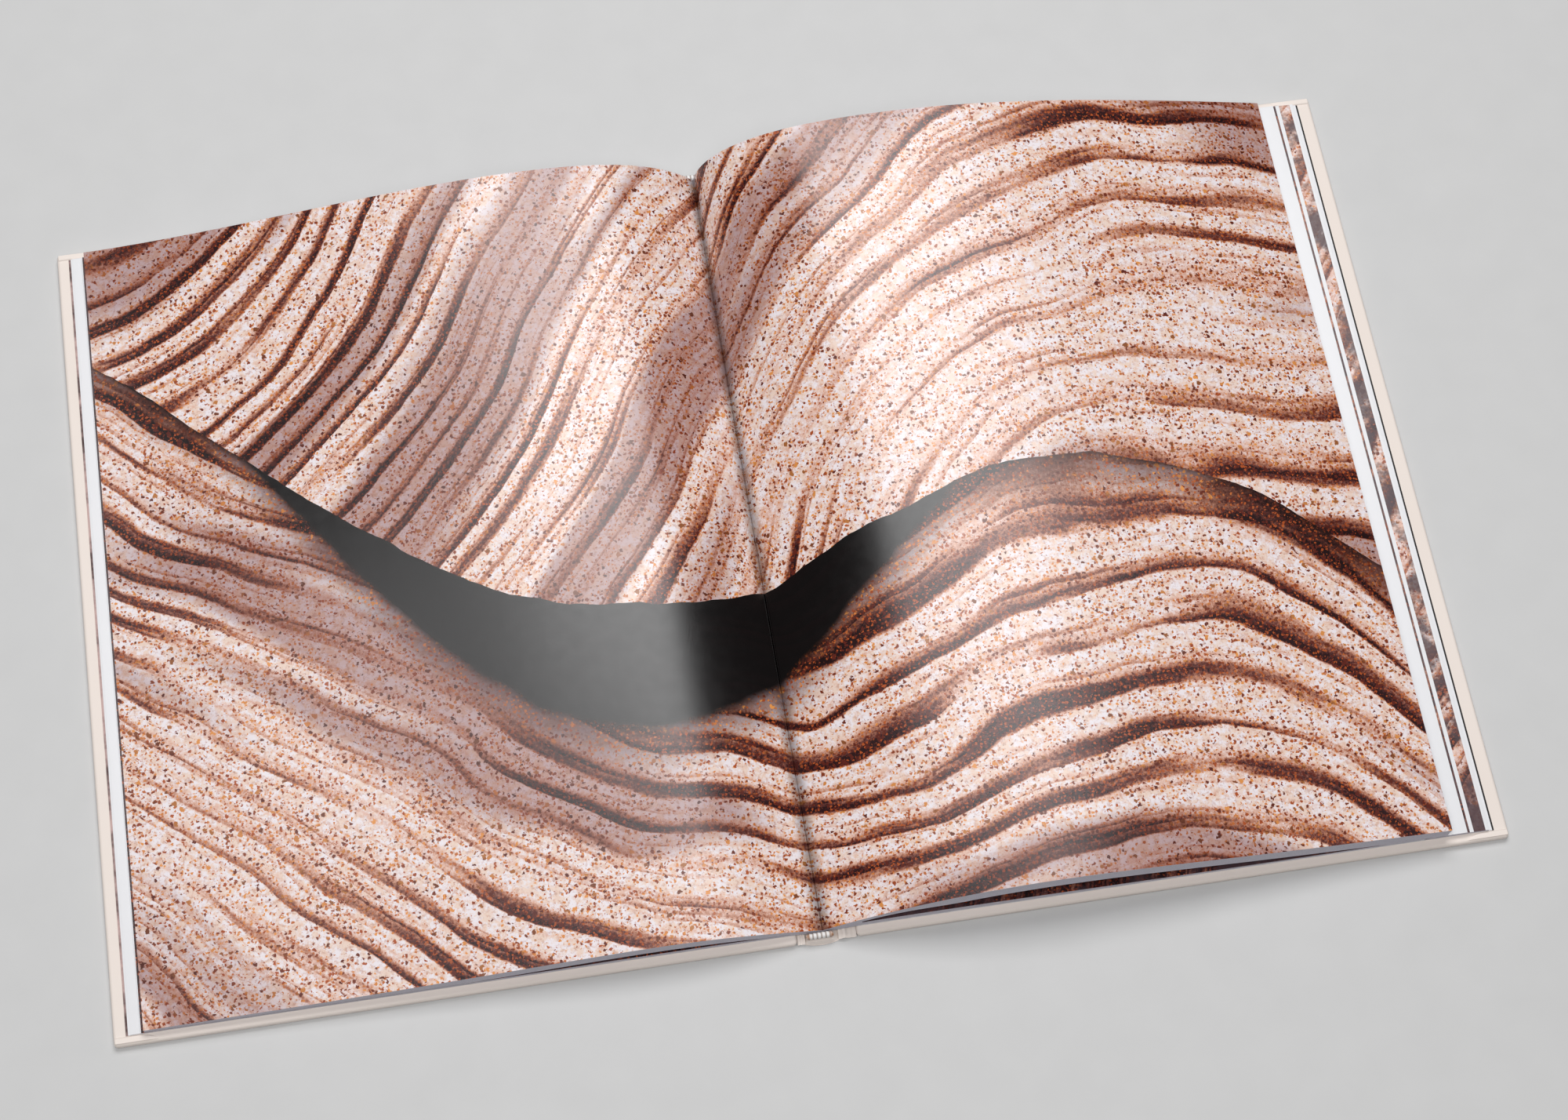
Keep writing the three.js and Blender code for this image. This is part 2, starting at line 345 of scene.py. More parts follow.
def wave(value, length_m, size_m, phase):
    turned = calc(strata, "SINE", calc(strata, "MULTIPLY_ADD", value, 2 * math.pi / length_m, phase))
    return calc(strata, "MULTIPLY", turned, size_m)


def swing(per_metre, size_m, detail=2.0):
    centred = calc(strata, "SUBTRACT", noise(strata, place, per_metre, detail), 0.5)
    return calc(strata, "MULTIPLY", centred, size_m)


def tilt(share):
    return calc(strata, "MULTIPLY", across, share)


rough_line = swing(26.0, 0.009, 4.0)
over_line = total(strata, along, tilt(0.30), wave(across, 0.43, 0.043, 2.6), rough_line)
upper = total(strata, along, tilt(-0.62), wave(across, 0.52, -0.052, 0.5), swing(4.5, 0.10), rough_line)
lower = total(strata, over_line, wave(across, 0.31, 0.012, 0.4), swing(5.5, 0.07))
is_lower = calc(strata, "LESS_THAN", over_line, 0.0)
slope = add_node(strata, "ShaderNodeMix", {0: is_lower, 2: upper, 3: lower}).outputs[0]
fanned = calc(strata, "MULTIPLY", slope, calc(strata, "MULTIPLY_ADD", across, -0.9, 1.05))
level = calc(strata, "MULTIPLY", fanned, LAYERS_PER_M)
on_level = join_xy(strata, level, is_lower)
print("layers every", round(1000 / LAYERS_PER_M, 1), "mm or so")

# %% [markdown]
# Each layer leans over the next: its shade starts dark in the groove, brightens slowly up its face, and ends
# in a pale rim before the next groove. Broad layers carry finer ones. A noise that is stretched along the
# layers makes a groove deep in one place and faint in another, and whole stretches lie in mauve shade.

# %% Shade the layers
OPEN_TONE = 0.93
GROOVE_SHADE = 0.96
FINE_GROOVE_SHADE = 0.42
LINE_SHADE = 0.6
CRUMB_SHADE = 1.1


def profile(each, uneven, phase, face):
    """From 0 in the groove to 1 on the rim of layers of uneven width."""
    drift = noise(strata, on_level, 0.5 * each, 2.0)
    value = calc(strata, "MULTIPLY_ADD", level, each, phase)
    value = calc(strata, "FRACT", calc(strata, "MULTIPLY_ADD", drift, uneven, value))
    return calc(strata, "MULTIPLY", remap(strata, value, 0.0, face), remap(strata, value, 1.0, 0.91))


def stretched(per_level, per_m, phase, detail=3.0):
    down = calc(strata, "MULTIPLY_ADD", level, per_level, phase)
    sideways = calc(strata, "MULTIPLY", across, per_m)
    return noise(strata, join_xy(strata, down, sideways), 1.0, detail, 0.6)


broad = profile(1.0, 1.5, 0.2, 0.62)
fine = profile(3.4, 1.3, 0.6, 0.75)
deep = remap(strata, stretched(0.9, 9.0, 0.0), 0.32, 0.58)
fine_deep = remap(strata, stretched(2.6, 16.0, 7.0), 0.42, 0.66, 0.10, 0.95)
carved = remap(strata, noise(strata, place, 5.5, 2.0), 0.38, 0.58, 0.30, 1.0)
groove = calc(strata, "MULTIPLY", deep, carved)
groove = calc(strata, "MULTIPLY", calc(strata, "SUBTRACT", 1.0, broad), groove)
fine_groove = calc(strata, "MULTIPLY", calc(strata, "SUBTRACT", 1.0, fine), fine_deep)
in_groove = calc(strata, "MULTIPLY", groove, GROOVE_SHADE)
in_groove = calc(strata, "MULTIPLY_ADD", fine_groove, FINE_GROOVE_SHADE, in_groove)
mauve_shade = remap(strata, stretched(0.22, 3.4, 1.0, 2.0), 0.51, 0.60)
line_depth = remap(strata, noise(strata, place, 16.0), 0.35, 0.65)
under_line = calc(strata, "MULTIPLY", remap(strata, over_line, -0.026, -0.001), is_lower)
under_line = calc(strata, "MULTIPLY", under_line, line_depth)
crumbs = calc(strata, "SUBTRACT", noise(strata, place, 750.0, 4.0, 0.8), 0.5)
shading = calc(strata, "MULTIPLY_ADD", crumbs, CRUMB_SHADE, in_groove)
tone = calc(strata, "SUBTRACT", OPEN_TONE, shading)
tone = calc(strata, "MULTIPLY_ADD", under_line, -LINE_SHADE, tone)
# The Shade input darkens the whole picture. On the low leaves it is painted shade for the dark gap under each
# arch.
tone = calc(strata, "SUBTRACT", tone, strata_in["Shade"])
stone = ramp(strata, tone, [(0.04, UMBER), (0.22, BROWN), (0.42, TAN), (0.66, BLUSH), (0.90, CREAM)])
open_face = remap(strata, tone, 0.45, 0.92)
pale = calc(strata, "MULTIPLY", remap(strata, noise(strata, place, 240.0, 5.0, 0.75), 0.44, 0.56), open_face)
stone = mixed(strata, pale, stone, FROST)
grains = remap(strata, noise(strata, place, 620.0, 3.0, 0.7), 0.50, 0.66, 0.0, 0.55)
stone = mixed(strata, calc(strata, "MULTIPLY", grains, open_face), stone, TAN)
print("group", strata.name, "has", len(strata.nodes), "nodes")

# %% [markdown]
# The cleft is a long lens under the line between the two sets. Its width follows from how far a point is
# along it, and its lower edge is soft, so it reads as a deep place and not as a black shape laid on top. The
# specks gather in the grooves. Along the bottom of the gutter a soft dark band is painted shade, standing for
# the shade where the two pages meet.

# %% Add the cleft and the specks
CLEFT_MIDDLE = -0.050
CLEFT_HALF_LENGTH = 0.130
CLEFT_DEPTH = 0.044
PAINTED_SHADE_REACH = 0.0045
CLEFT_SHADE = (0.16, 0.07, 0.07)

off_middle = calc(strata, "DIVIDE", calc(strata, "SUBTRACT", across, CLEFT_MIDDLE), CLEFT_HALF_LENGTH)
room = calc(strata, "SUBTRACT", 1.0, calc(strata, "MULTIPLY", off_middle, off_middle))
room = calc(strata, "MAXIMUM", room, 0.0)
cleft_floor = calc(strata, "MULTIPLY", calc(strata, "POWER", room, 1.3), -CLEFT_DEPTH)
above_floor = total(strata, over_line, calc(strata, "MULTIPLY", cleft_floor, -1.0), swing(60.0, 0.004))
opened = calc(strata, "MULTIPLY", is_lower, strata_in["Cleft"])
cleft = calc(strata, "MULTIPLY", remap(strata, above_floor, -0.0035, 0.002), opened)
beside = calc(strata, "MULTIPLY", remap(strata, above_floor, -0.020, 0.0, 0.0, 0.85), opened)
stone = mixed(strata, beside, stone, CLEFT_SHADE, "MULTIPLY")
inner_ribs = calc(strata, "MULTIPLY", calc(strata, "MULTIPLY", fine, broad), 0.06)

gathered = calc(strata, "MULTIPLY_ADD", in_groove, 0.75, 0.20)
warmth = remap(strata, tone, 0.15, 0.60, 0.0, 1.0)
for per_m, amount, dark, warm in (
    (720.0, 2.2, RUST, OCHRE),
    (560.0, 1.5, RUST_SHADE, RUST),
    (430.0, 0.6, RUST_SHADE, OCHRE),
):
    share = calc(strata, "MULTIPLY", gathered, amount)
    strewn = use_group(strata, specks, Vector=place, Per_metre=per_m, Amount=share)
    tint = mixed(strata, calc(strata, "MULTIPLY", strewn["Tone"], warmth), dark, warm)
    stone = mixed(strata, strewn["Mask"], stone, tint)
stone = mixed(strata, calc(strata, "MULTIPLY", mauve_shade, 0.9), stone, MAUVE, "MULTIPLY")
# Painted shade: a dark band along the bottom of the gutter, where the two pages meet.
painted_gutter_shade = remap(strata, calc(strata, "ABSOLUTE", across), 0.0, PAINTED_SHADE_REACH, 0.6, 0.0)
stone = mixed(strata, painted_gutter_shade, stone, UMBER)
stone = mixed(strata, cleft, stone, mixed(strata, inner_ribs, BLACK, UMBER))
strata.links.new(stone, strata_out["Color"])
print("group", strata.name, "has", len(strata.nodes), "nodes")

# %% [markdown]
# ## The page materials
# Coated paper has a satin gloss over the ink, and its own fine tooth scatters the light that it mirrors, most
# of all where the ink is dark. The print follows the sheet, so it is placed by the mesh's own map, in metres
# from the gutter and along it. A page under the spread takes its picture from another stretch of the same
# stone, metres away, and dark blots set it off from the spread's. It has a white margin, so its material
# takes the place where its picture ends.

# %% Build the printed materials
WHITE_PAPER = (0.80, 0.80, 0.82)
BLOT = (0.070, 0.038, 0.046)
INK_ROUGHNESS = 0.23


def sheet_map(tree, offset=(0.0, 0.0, 0.0)):
    uv = add_node(tree, "ShaderNodeUVMap", uv_map="Sheet").outputs[0]
    return vector_calc(tree, "ADD", uv, offset)


def printed(name, offset=(0.0, 0.0, 0.0), shade=0.0, cleft=0.0, picture_ends=None):
    material, tree, shader = new_material(name, INK_ROUGHNESS, specular=0.55)
    vector = sheet_map(tree, offset)
    picture = use_group(tree, strata, Vector=vector, Shade=shade, Cleft=cleft)
    tooth = use_group(tree, grain, Vector=vector, Per_metre=2000.0)
    colour = picture["Color"]
    if picture_ends is not None:
        run = calc(tree, "ABSOLUTE", split_xyz(tree, sheet_map(tree))["X"])
        margin = calc(tree, "GREATER_THAN", run, picture_ends)
        blots = remap(tree, noise(tree, vector, 42.0, 5.0, 0.7), 0.42, 0.56, 0.0, 0.92)
        colour = mixed(tree, blots, colour, BLOT)
        colour = mixed(tree, margin, colour, WHITE_PAPER)
    tree.links.new(colour, shader["Base Color"])
    dull = remap(tree, tooth["Mottle"], 0.3, 0.7, INK_ROUGHNESS - 0.01, INK_ROUGHNESS + 0.02)
    tree.links.new(dull, shader["Roughness"])
    add_bump(tree, shader, tooth["Height"], 0.35, 0.00005)
    return material


# The shade values darken the pictures of the sheets under the arches, more for the lower ones. On the low
# leaves this is painted shade for the gap under each arch. On the fanned sheets it is partly painted shade
# and partly their own darker, mauve-brown print.
spread = printed("spread_print", cleft=1.0)
back_sheet_print = printed("back_sheet_print", (-0.06, 1.3, 0.0), shade=0.22, picture_ends=0.2268)
back_next_print = printed("back_next_print", (-0.15, 2.1, 0.0), shade=0.50, picture_ends=0.2212)
back_low_print = printed("back_low_print", (0.0, 3.2, 0.0), shade=0.66, picture_ends=0.2060)
front_sheet_print = printed("front_sheet_print", (0.0, 4.1, 0.0), shade=0.2, picture_ends=0.2080)
front_low_print = printed("front_low_print", (0.1, 5.3, 0.0), shade=0.85, picture_ends=0.2257)
print("printed materials:", [m.name for m in bpy.data.materials if m.name.endswith("print")])

# %% [markdown]
# The cut edges of the leaves are white paper seen end on. Their colour is painted a cool grey, with darker
# patches, as painted shade for the fine gaps between the leaves. The lines that run with the leaves come from
# the mesh, whose rows step in and out. The material adds the fine marks that the trimming knife leaves across
# the leaves. The map's first number runs along the edge and its second is the depth under the top page, so a
# noise that is finer along the first number gives marks that stand upright.

# %% Build the leaf edge material
EDGE_GREY = (0.48, 0.46, 0.53)
EDGE_WHITE = (0.70, 0.68, 0.76)
EDGE_SHADE = (0.36, 0.31, 0.35)
UPRIGHTNESS = 6.0

edges, tree, shader = new_material("leaf_edges", 0.75, specular=0.3)
uv = split_xyz(tree, sheet_map(tree))
upright_at = join_xy(tree, calc(tree, "MULTIPLY", uv["X"], UPRIGHTNESS), uv["Y"])
knife_marks = noise(tree, upright_at, 3800.0, 2.0, 0.6)
patches = noise(tree, upright_at, 900.0, 2.0, 0.5)
# Painted shade: the white paper's colour is greyed, and darkened in patches, for the shade in the gaps
# between the leaves.
paper = mixed(tree, remap(tree, knife_marks, 0.35, 0.65), EDGE_GREY, EDGE_WHITE)
paper = mixed(tree, remap(tree, patches, 0.56, 0.70, 0.0, 0.45), paper, EDGE_SHADE)
tree.links.new(paper, shader["Base Color"])
add_bump(tree, shader, knife_marks, 0.5, 0.00012)
print("material", edges.name)

# %% [markdown]
# ## The covering
# The case is covered in smooth, matte, cream paper. Under a raking light it shows a very fine tooth, and it
# is a little greyer in patches, from handling. Covering, endpapers, gauze and headbands are rigid or nearly
# so, and their finish is placed by the object's own coordinates, which move with it. A map would do as well,
# but the coordinates are there without one.

# %% Build the covering
COVER_CREAM = (0.865, 0.775, 0.715)
HANDLED_CREAM = (0.83, 0.735, 0.665)


def object_place(tree):
    return add_node(tree, "ShaderNodeTexCoord").outputs["Object"]


covering, tree, shader = new_material("covering_paper", 0.62, specular=0.35)
tooth = use_group(tree, grain, Vector=object_place(tree), Per_metre=1400.0)
handled = remap(tree, noise(tree, object_place(tree), 14.0, 3.0), 0.45, 0.75, 0.0, 0.35)
cream = mixed(tree, handled, COVER_CREAM, HANDLED_CREAM)
tree.links.new(cream, shader["Base Color"])
tree.links.new(remap(tree, tooth["Mottle"], 0.3, 0.7, 0.56, 0.68), shader["Roughness"])
add_bump(tree, shader, tooth["Height"], 0.25, 0.00008)
print("material", covering.name)

# %% [markdown]
# ## The floor
# The book lies on a plain, pale, matte floor that holds its shadow. It is a large flat grid, a hair under the
# boards, because two faces at the same height would flicker through each other.

# %% Lay the floor
FLOOR_GREY = (0.60, 0.60, 0.60)
FLOOR_PALE = (0.64, 0.64, 0.64)
FLOOR_HALF = 4.0
FLOOR_CLEARANCE = 0.00005

matte, tree, shader = new_material("floor_finish", 0.7, specular=0.3)
tooth = use_group(tree, grain, Vector=object_place(tree), Per_metre=500.0)
tree.links.new(mixed(tree, tooth["Mottle"], FLOOR_GREY, FLOOR_PALE), shader["Base Color"])
add_bump(tree, shader, tooth["Height"], 0.1, 0.0001)

floor_mesh = bpy.data.meshes.new("floor")
floor_bm = bmesh.new()
bmesh.ops.create_grid(floor_bm, x_segments=4, y_segments=4, size=FLOOR_HALF)
floor_bm.to_mesh(floor_mesh)
floor_bm.free()
floor = bpy.data.objects.new("floor", floor_mesh)
floor.location.z = -FLOOR_CLEARANCE
floor_mesh.materials.append(matte)
bpy.context.scene.collection.objects.link(floor)
print("floor laid at", floor.location.z)

# %% [markdown]
# ## The shape of the pages
# Paper bends in one direction only, so each side's top page is a curve across the book that changes slowly
# from the foot to the head. A cubic Bezier has the right nature for it: it leaves the gutter steeply, rounds
# over and runs out almost flat. The sides, in millimetres from the middle, are the same as the solids'. For
# each side, foot and head hold the curve's two handles and the height at which it ends. Held and bundle are
# the thickness near the gutter, at the foot and at the head, and further out. Lower is the curve of the
# leaves that lie low. The leaves begin at the seam, and their underside leaves the gutter at the binding.

# %% Curves of the pages
SEAM = 12.0
BINDING = 10.0
GUTTER = -1.2
GUTTER_HEIGHT = 4.5
VALLEY_HALF = 0.3
PAGE_HALF = 1000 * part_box("front_leaves")[1].y
BASE = 1000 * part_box("front_endpaper")[1].z
STATIONS = 59
HELD_REACH = 16.0
RELEASE_LENGTH = 30.0

SIDES = {
    "front": {
        "sign": -1,
        "top_edge": 224.6,
        "bundle": 5.6,
        "held": (4.6, 5.6),
        "foot": ((60, 22), (53, 9.5), 6.6),
        "head": ((36, 48), (136, 12), 7.4),
        "lower": (4.2, (45, 7.4), (90, 4.2), 4.2),
    },
    "back": {
        "sign": 1,
        "top_edge": 213.6,
        "bundle": 6.8,
        "held": (2.6, 6.8),
        "foot": ((60, 35), (102, 18), 10.4),
        "head": ((0, 18), (20, 65), 8.6),
        "lower": (6.6, (60, 8.6), (105, 3.8), 5.3),
    },
}


def bezier(points, steps=1600):
    t = np.linspace(0, 1, steps)[:, None]
    a, b, c, d = (np.array(p, float) for p in points)
    return (1 - t) ** 3 * a + 3 * t * (1 - t) ** 2 * b + 3 * t**2 * (1 - t) * c + t**3 * d


def top_curve(side, share):
    """Points (u, z), their length from the gutter and unit normals, in mm, at a share from foot to head."""
    foot, head = SIDES[side]["foot"], SIDES[side]["head"]
    mix = [np.array(a, float) * (1 - share) + np.array(b, float) * share for a, b in zip(foot, head)]
    start = SIDES[side]["sign"] * GUTTER + VALLEY_HALF
    points = bezier([(start, GUTTER_HEIGHT), mix[0], mix[1], (SIDES[side]["top_edge"], float(mix[2]))])
    steps = np.diff(points, axis=0)
    length = np.concatenate([[0], np.cumsum(np.hypot(*steps.T))])
    tangent = np.gradient(points, axis=0)
    tangent /= np.linalg.norm(tangent, axis=1)[:, None]
    return points, length, np.stack([-tangent[:, 1], tangent[:, 0]], axis=1)


def thickness(side, share, u):
    """The binding holds a bundle's leaves together near the gutter, most of all at the foot."""
    held = np.interp(share, (0, 1), SIDES[side]["held"])
    free = np.clip((u - HELD_REACH) / RELEASE_LENGTH, 0, 1)
    return held + (SIDES[side]["bundle"] - held) * free**2 * (3 - 2 * free)


def lower_curve(side):
    start, near_gutter, near_edge, end = SIDES[side]["lower"]
    return bezier([(BINDING, start), near_gutter, near_edge, (SIDES[side]["top_edge"], end)])


def ripple(u, y):
    """A sheet is never quite flat: a slow unevenness, none at the gutter."""
    grow = np.clip((u - SEAM) / 60, 0, 1)
    return grow * (0.22 * np.sin(u / 23 + y / 61 + 0.6) + 0.16 * np.sin(u / 41 - y / 37 + 2.0))


for name in SIDES:
    heights = [round(float(top_curve(name, share)[0][:, 1].max()), 1) for share in (0, 1)]
    print(name, "top page peaks at", heights, "mm at the foot and the head")

# %% [markdown]
# ## A block of leaves
# Bundles, single sheets and strips of covering are all a top surface over an under surface. One function
# builds the skin of such a block as a closed mesh of quads. It writes a map called Sheet, in metres, which is
# the place on the sheet for the two faces and the depth for the cut edges. The rows of the cut edges step in
# and out by a tenth of a millimetre or so, because a stack of leaves is never cut or laid perfectly true.

# %% The block builder
RNG = np.random.default_rng(11)


def block(name, top, under, run, materials, rows=1, ragged=0.0, angle=38):
    """top and under are [station, step, 3] in mm, run the sheet's own [station, step] distance in mm."""
    stations, steps = top.shape[:2]
    share = np.linspace(0, 1, rows + 1)[None, None, :, None]
    grid = top[:, :, None] * (1 - share) + under[:, :, None] * share
    if ragged:
        outward = np.sign(top[0, -1, 0] - top[0, 0, 0])
        grid[:, -1, 1:, 0] += outward * RNG.uniform(-ragged, ragged, rows)
        for end, way in ((0, -1), (-1, 1)):
            grid[end, :, 1:, 1] += way * RNG.uniform(-ragged, ragged * 0.2, rows)
    flat = np.arange(stations * steps * (rows + 1)).reshape(stations, steps, rows + 1)
    depth = np.linalg.norm(top - under, axis=2)[:, :, None] * np.linspace(0, 1, rows + 1)
    run = np.broadcast_to(run[:, :, None], depth.shape)
    along = np.broadcast_to(top[:, :, None, 1], depth.shape)
    faces, maps, kinds = [], [], []

    def skin(pick, u, v, kind):
        ids, us, vs = flat[pick], u[pick], v[pick]
        corners = [(slice(None, -1), slice(None, -1)), (slice(1, None), slice(None, -1))]
        corners += [(slice(1, None), slice(1, None)), (slice(None, -1), slice(1, None))]
        faces.append(np.stack([ids[c].ravel() for c in corners], axis=1))
        maps.append(np.stack([np.stack([us[c].ravel(), vs[c].ravel()], axis=1) for c in corners], axis=1))
        kinds.append(np.full(len(faces[-1]), kind))

    everything = slice(None)
    skin((everything, everything, 0), run, along, 0)
    skin((everything, everything, rows), run, along, 2)
    for end in (0, -1):
        skin((end, everything, everything), run, depth, 1)
        skin((everything, end, everything), along, depth, 1)
    faces = np.concatenate(faces)
    maps = np.concatenate(maps).reshape(-1, 2) * MM
    used, again = np.unique(faces, return_inverse=True)
    mesh = bpy.data.meshes.new(name)
    mesh.from_pydata((grid.reshape(-1, 3)[used] * MM).tolist(), [], again.reshape(faces.shape).tolist())
    for material in materials:
        mesh.materials.append(material)
    mesh.polygons.foreach_set("material_index", np.minimum(np.concatenate(kinds), len(materials) - 1))
    layer = mesh.uv_layers.new(name="Sheet")
    layer.data.foreach_set("uv", maps.astype(np.float32).ravel())
    made = bmesh.new()
    made.from_mesh(mesh)
    bmesh.ops.recalc_face_normals(made, faces=made.faces)
    made.to_mesh(mesh)
    made.free()
    mesh.polygons.foreach_set("use_smooth", np.ones(len(mesh.polygons), bool))
    mesh.set_sharp_from_angle(angle=math.radians(angle))
    piece = bpy.data.objects.new(name, mesh)
    bpy.context.scene.collection.objects.link(piece)
    print(name, len(mesh.polygons), "quads")
    return piece


def across_at(side, u, y, z):
    return np.stack([SIDES[side]["sign"] * u, y, z], axis=-1)


# %% [markdown]
# ## The arched bundles
# On each side a thick bundle of leaves springs from the gutter, arches over a gap, and comes down on the few
# leaves that lie low on the board. A Solidify modifier would give one thickness everywhere. Here the
# underside is a bundle's thickness below the top page where it is free, and it rests on the low leaves
# elsewhere, so both surfaces are worked out. Each bundle turns with its cover. A real one flexes flat as the
# book shuts; here the pieces of a side are attached to their board's body and keep their shape.

# %% Build the arched bundles
CROWDING = 1.25
TURNING_LENGTH = 14.0


def flatten(piece, side):
    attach(piece, side)
    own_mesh(piece)


def bundle(side, steps=130):
    sizes = SIDES[side]
    low = lower_curve(side)
    tops, unders, runs = [], [], []
    for share in np.linspace(0, 1, STATIONS):
        points, length, normal = top_curve(side, share)
        first = np.interp(SEAM, points[:, 0], length)
        spaced = first + (length[-1] - first) * np.linspace(0, 1, steps) ** CROWDING
        u, z, nu, nz = (np.interp(spaced, length, a) for a in (*points.T, *normal.T))
        u[0] = SEAM
        y = np.full(steps, (2 * share - 1) * PAGE_HALF)
        free = np.clip((u - SEAM) / TURNING_LENGTH, 0, 1)
        down = np.stack([nu * free, nz * free + (1 - free)], axis=1)
        down /= np.linalg.norm(down, axis=1)[:, None]
        depth = thickness(side, share, u)[:, None]
        under = np.stack([u, z], axis=1) - down * depth
        floor_z = np.interp(under[:, 0], *low.T)
        kept = np.clip((z - floor_z) / np.maximum(z - under[:, 1], 0.01), 0.02, 1)
        under = np.stack([u, z], axis=1) - down * depth * kept[:, None]
        lift = ripple(u, y)
        tops.append(across_at(side, u, y, z + lift))
        unders.append(across_at(side, under[:, 0], y, under[:, 1] + lift * (kept > 0.98)))
        runs.append(sizes["sign"] * spaced)
    top, under = np.array(tops), np.array(unders)
    return block(f"{side}_bundle", top, under, np.array(runs), [spread, edges], rows=9, ragged=0.12)


for side in SIDES:
    arched = bundle(side)
    flatten(arched, side)
    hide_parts(f"{side}_leaves")

# %% [markdown]
# ## The low leaves and the fanned sheets
# Under each arch a few leaves lie close to the board. At the fore-edge their sheets fan out, each a little
# further than the one above, and each shows a strip of white margin and a line of its own picture. A sheet
# runs from under the leaves above it to its own edge, and has an under and a top height.

# %% Build the low leaves
EDGE_STRIP = 6.0
SHELF_STEP = 1.5


def plain_block(name, side, u, z_top, z_under, materials, rows=1, ragged=0.0):
    y = np.linspace(-PAGE_HALF, PAGE_HALF, STATIONS)[:, None] * np.ones_like(u)
    u = np.ones_like(y) * u
    top = across_at(side, u, y, np.ones_like(y) * z_top)
    under = across_at(side, u, y, np.ones_like(y) * z_under)
    return block(name, top, under, SIDES[side]["sign"] * u, materials, rows, ragged)


def low_leaves(side, material, shelf, edge, under, top):
    u = np.concatenate([np.linspace(SEAM, shelf, 60), np.linspace(shelf + SHELF_STEP, edge, 8)])
    low = lower_curve(side)
    z_top = np.interp(u, *low.T)
    z_top = np.where(u > SIDES[side]["top_edge"] - EDGE_STRIP, np.minimum(z_top, top), z_top)
    z_under = np.where(u > shelf, under, BASE)
    looks = [material, edges]
    flatten(plain_block(f"{side}_low_leaves", side, u, z_top, z_under, looks, rows=4, ragged=0.06), side)


def fan_sheet(side, place_name, material, inner, edge, under, top):
    u = np.linspace(inner, edge, 6)
    flatten(plain_block(f"{side}_{place_name}", side, u, top, under, [material, edges]), side)


low_leaves("front", front_low_print, shelf=214, edge=226.0, under=3.8, top=4.1)
fan_sheet("front", "fan_sheet", front_sheet_print, inner=215.5, edge=229.4, under=BASE, top=3.8)
low_leaves("back", back_low_print, shelf=204, edge=220.3, under=4.7, top=5.0)
fan_sheet("back", "fan_sheet_low", back_sheet_print, inner=205.5, edge=228.0, under=BASE, top=4.4)
fan_sheet("back", "fan_sheet_next", back_next_print, inner=205.5, edge=222.6, under=4.4, top=4.7)

# %% [markdown]
# ## The gutter
# The sewn backs of the pages stay on the spine. Their top is the valley of the gutter, and the picture runs
# through it. They are two halves that meet at the gutter, and both are attached to the spine's body.

# %% Build the gutter halves
BACKS_UNDER = 1000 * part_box("page_backs")[0].z
STRIP_LEFT, STRIP_RIGHT = (1000 * corner.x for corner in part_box("spine_lining"))
VALLEY_DROP = 0.5


def gutter_half(side, steps=26):
    sign = SIDES[side]["sign"]
    inner_edge = sign * (STRIP_LEFT if sign < 0 else STRIP_RIGHT)
    tops, unders, runs = [], [], []
    for share in np.linspace(0, 1, STATIONS):
        points, length, _ = top_curve(side, share)
        last = np.interp(SEAM, points[:, 0], length)
        spaced = last * np.linspace(0, 1, steps)
        u, z = (np.interp(spaced, length, a) for a in points.T)
        u, z = np.append(sign * GUTTER, u), np.append(GUTTER_HEIGHT - VALLEY_DROP, z)
        u[-1] = SEAM
        y = np.full(steps + 1, (2 * share - 1) * PAGE_HALF)
        flat_u = np.linspace(sign * GUTTER, SEAM, steps + 1)
        flat_z = np.interp(flat_u, [inner_edge, BINDING], [BACKS_UNDER, BASE])
        tops.append(across_at(side, u, y, z))
        unders.append(across_at(side, flat_u, y, flat_z))
        runs.append(sign * np.append(-VALLEY_DROP, spaced))
    made = block(f"{side}_gutter", np.array(tops), np.array(unders), np.array(runs), [spread, edges], rows=6)
    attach(made, "spine")
    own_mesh(made)
    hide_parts("page_backs")


for side in SIDES:
    gutter_half(side)

# %% [markdown]
# ## The boards
# Each cover is a greyboard wrapped in the cream paper, so its edges are softly rounded and its corners show
# the tucked fold of the covering. A Bevel modifier would round everything alike. Bevelling the mesh itself,
# the upright corners first and then the rims, gives each its own radius, as the folded paper does.

# %% Build the boards
CORNER_ROUND = 1.4
EDGE_ROUND = 1.1


def bevelled(made, edge_list, width, segments):
    bmesh.ops.bevel(made, geom=edge_list, offset=width, segments=segments, affect="EDGES", profile=0.5)


